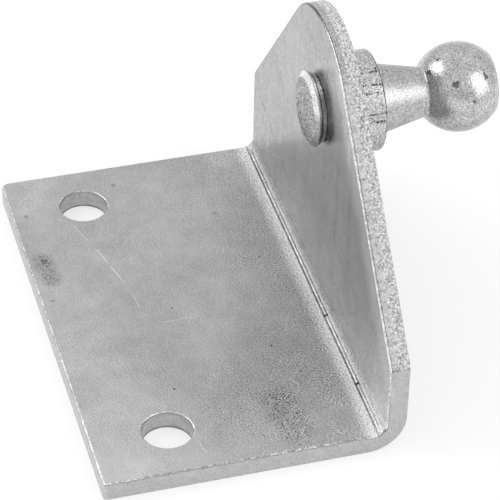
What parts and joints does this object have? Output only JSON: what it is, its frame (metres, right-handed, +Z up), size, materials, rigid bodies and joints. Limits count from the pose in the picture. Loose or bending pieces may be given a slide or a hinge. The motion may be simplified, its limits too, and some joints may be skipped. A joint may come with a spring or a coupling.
{
  "type": "ball stud angle bracket",
  "caption": "Right-angle sheet-steel bracket with screw holes in its base and a riveted ball stud on its tapered upright, for the end of a gas strut or linear actuator.",
  "frame": {"origin": "midway between the two screw holes, on the underside of the base", "axes": "+X along the bend line, +Y the way the ball stud points, +Z up from the mounting face"},
  "size_m": [0.0524, 0.0504, 0.0366],
  "materials": {
    "plated_sheet": "zinc-plated cold-rolled sheet, satin, with sheared edges",
    "turned_steel": "turned and zinc-plated, bright"
  },
  "bodies": {
    "root": {"angle_bracket": "plated_sheet", "ball_stud": "turned_steel"}
  },
  "joints": []
}
